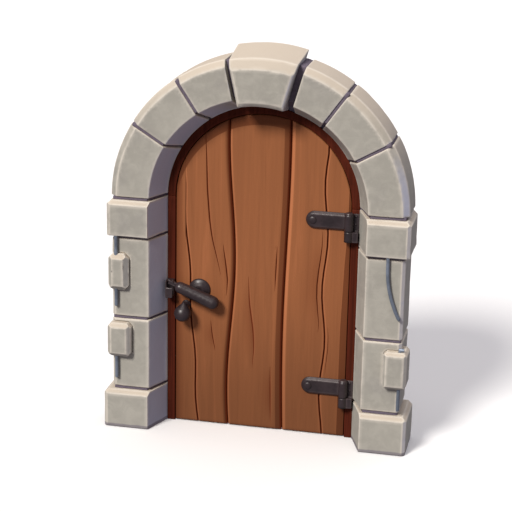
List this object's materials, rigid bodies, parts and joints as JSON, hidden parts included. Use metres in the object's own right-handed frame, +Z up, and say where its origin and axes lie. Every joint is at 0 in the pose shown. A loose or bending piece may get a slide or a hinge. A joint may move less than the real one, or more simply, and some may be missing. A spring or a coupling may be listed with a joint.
{
  "type": "arched plank door in a stone doorway",
  "caption": "Round-arched plank door with iron strap hinges, a latch bar and a pull knob, in a timber frame and a splayed stone arch with a keystone.",
  "frame": {"origin": "centre of the object's box at floor level: midway between the jambs and midway from the foremost boss stone to the back of the wall", "axes": "+X to the right seen from outside, +Y into the wall, +Z up"},
  "size_m": [1.86, 0.335, 2.375],
  "materials": {
    "stone": "matte",
    "mortar": "matte",
    "rod_iron": "satin",
    "frame_timber": "satin",
    "board_timber": "satin",
    "ledge_timber": "matte",
    "forged_iron": "satin"
  },
  "bodies": {
    "doorway": {"base_left": "stone", "lower_jamb_left": "stone", "upper_jamb_left": "stone", "impost_left": "stone", "base_right": "stone", "lower_jamb_right": "stone", "upper_jamb_right": "stone", "impost_right": "stone", "arch_stone_right_1": "stone", "arch_stone_right_2": "stone", "arch_stone_right_3": "stone", "keystone": "stone", "arch_stone_left_3": "stone", "arch_stone_left_2": "stone", "arch_stone_left_1": "stone", "mortar_left": "mortar", "mortar_right": "mortar", "mortar_arch": "mortar", "boss_upper_left": "stone", "boss_lower_left": "stone", "boss_lower_right": "stone", "rod_upper_left": "rod_iron", "rod_lower_left": "rod_iron", "rod_lower_right": "rod_iron", "rod_bent": "rod_iron", "frame_post_left": "frame_timber", "frame_post_right": "frame_timber", "frame_head_left": "frame_timber", "frame_head_right": "frame_timber", "pintle_upper": "forged_iron", "pintle_lower": "forged_iron", "hinge_pin_upper": "forged_iron", "hinge_pin_lower": "forged_iron", "pintle_nails": "forged_iron", "keeper": "forged_iron"},
    "leaf": {"board_1": "board_timber", "board_2": "board_timber", "board_3": "board_timber", "board_4": "board_timber", "board_5": "board_timber", "ledge_bottom": "ledge_timber", "ledge_middle": "ledge_timber", "ledge_top": "ledge_timber", "ledge_nails": "forged_iron", "strap_upper": "forged_iron", "strap_lower": "forged_iron", "strap_bolts": "forged_iron", "strap_nuts": "forged_iron", "latch_rose": "forged_iron", "pull_knob": "forged_iron", "knob_nut": "forged_iron"},
    "latch": {"latch_bar": "forged_iron", "latch_spindle": "forged_iron", "latch_nut": "forged_iron"}
  },
  "joints": [
    {"name": "door_swing", "type": "hinge", "parent": "doorway", "child": "leaf", "pos_m": [0.52, 0.0285, 0], "axis": [0, 0, 1], "range_deg": [0, 95]},
    {"name": "latch_turn", "type": "hinge", "parent": "leaf", "child": "latch", "pos_m": [-0.378, -0.002, 0.868], "axis": [0, -1, 0], "range_deg": [0, 21.5]}
  ]
}
